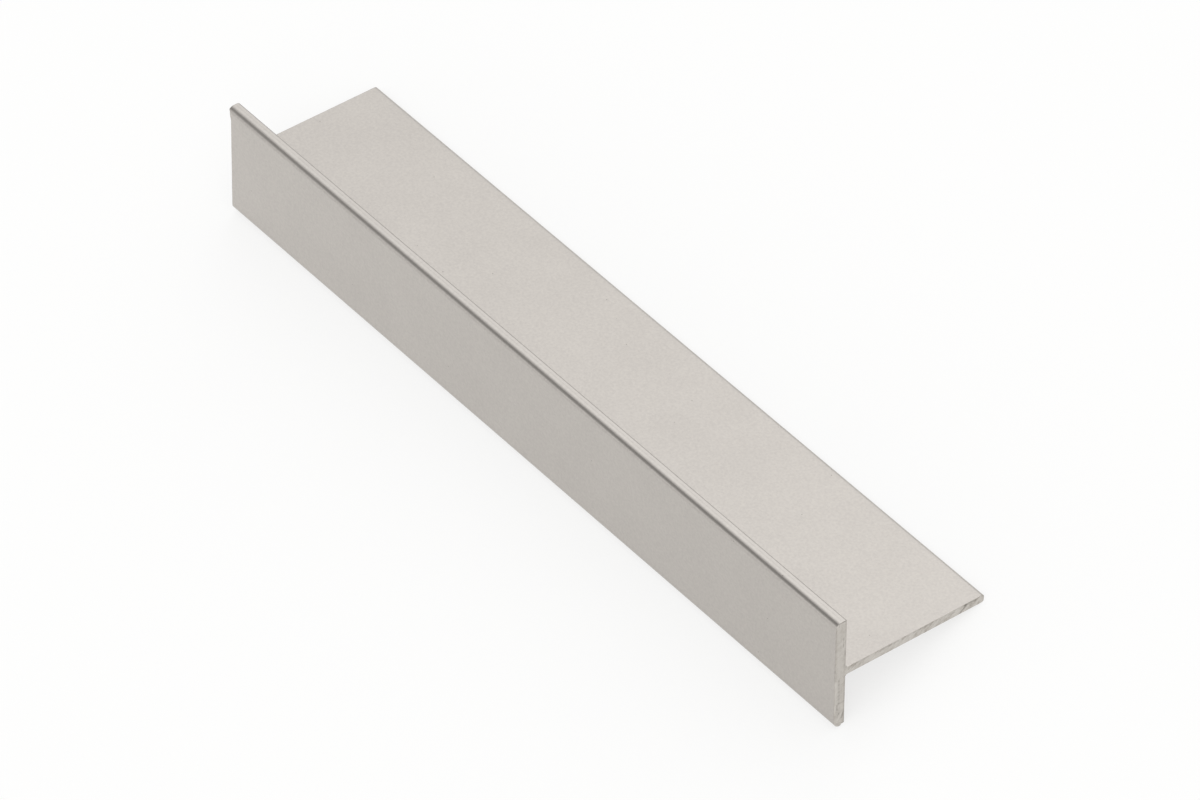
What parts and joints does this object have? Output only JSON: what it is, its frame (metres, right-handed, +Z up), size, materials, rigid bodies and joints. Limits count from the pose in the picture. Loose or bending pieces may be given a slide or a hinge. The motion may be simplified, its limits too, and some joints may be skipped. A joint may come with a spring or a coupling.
{
  "type": "aluminium tee profile",
  "caption": "Short cut length of extruded aluminium tee: a flat flange with softly rounded front corners and a thinner leg with a rounded tip at its middle.",
  "frame": {"origin": "on the floor, under the middle of the box of the profile as it rests", "axes": "+X along the extrusion, +Z up, +Y from the flange's front face towards the tip of the leg; the section leans back by 20.00 degrees about X, because the profile rests on the flange's lower back corner and on the tip of its leg"},
  "size_m": [0.148, 0.0294, 0.0192],
  "materials": {
    "anodised_aluminium": "fine matt clear anodised, saw-cut ends"
  },
  "bodies": {
    "root": {"tee_profile": "anodised_aluminium"}
  },
  "joints": []
}
